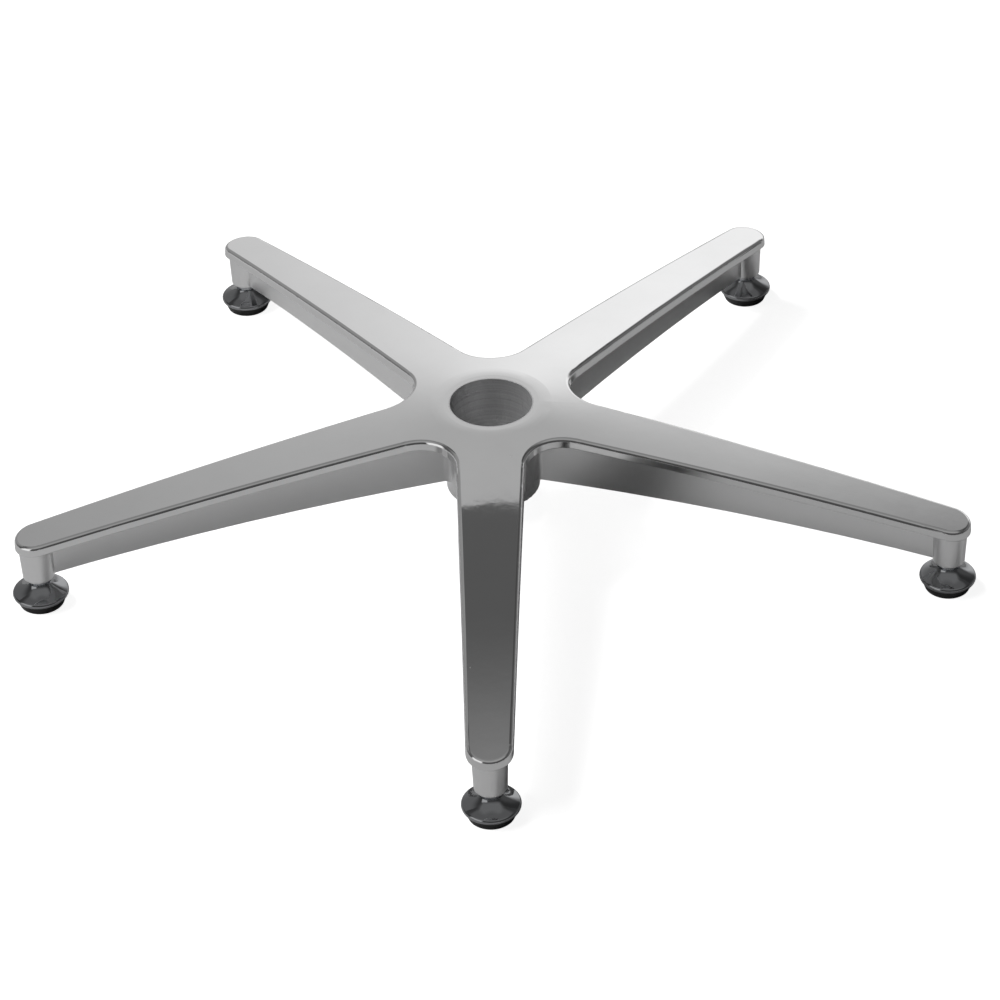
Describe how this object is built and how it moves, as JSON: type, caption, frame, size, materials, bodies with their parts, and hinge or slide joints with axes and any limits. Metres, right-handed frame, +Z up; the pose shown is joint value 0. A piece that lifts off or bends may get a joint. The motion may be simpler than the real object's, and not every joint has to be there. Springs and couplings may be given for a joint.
{
  "type": "chair base",
  "caption": "Low star-shaped chair base in polished cast aluminium with a central lift socket and push-in glides under the leg tips.",
  "frame": {"origin": "centre of the lift socket's mouth, in the plane of the hub's flat top", "axes": "+Z up along the socket axis, -Y along one leg (the front one), +X to the right seen from the front"},
  "size_m": [0.5758, 0.5492, 0.0778],
  "materials": {
    "cast_aluminium": "polished on top and on the flange, as cast below",
    "stem_steel": "turned, zinc plated",
    "spring_steel": "blued",
    "cap_chrome": "mirror",
    "pad_plastic": "black, moulded"
  },
  "bodies": {
    "root": {"base_casting": "cast_aluminium", "glide_stem_1": "stem_steel", "grip_ring_1": "spring_steel", "glide_cap_1": "cap_chrome", "glide_pad_1": "pad_plastic", "glide_stem_2": "stem_steel", "grip_ring_2": "spring_steel", "glide_cap_2": "cap_chrome", "glide_pad_2": "pad_plastic", "glide_stem_3": "stem_steel", "grip_ring_3": "spring_steel", "glide_cap_3": "cap_chrome", "glide_pad_3": "pad_plastic", "glide_stem_4": "stem_steel", "grip_ring_4": "spring_steel", "glide_cap_4": "cap_chrome", "glide_pad_4": "pad_plastic", "glide_stem_5": "stem_steel", "grip_ring_5": "spring_steel", "glide_cap_5": "cap_chrome", "glide_pad_5": "pad_plastic"}
  },
  "joints": []
}
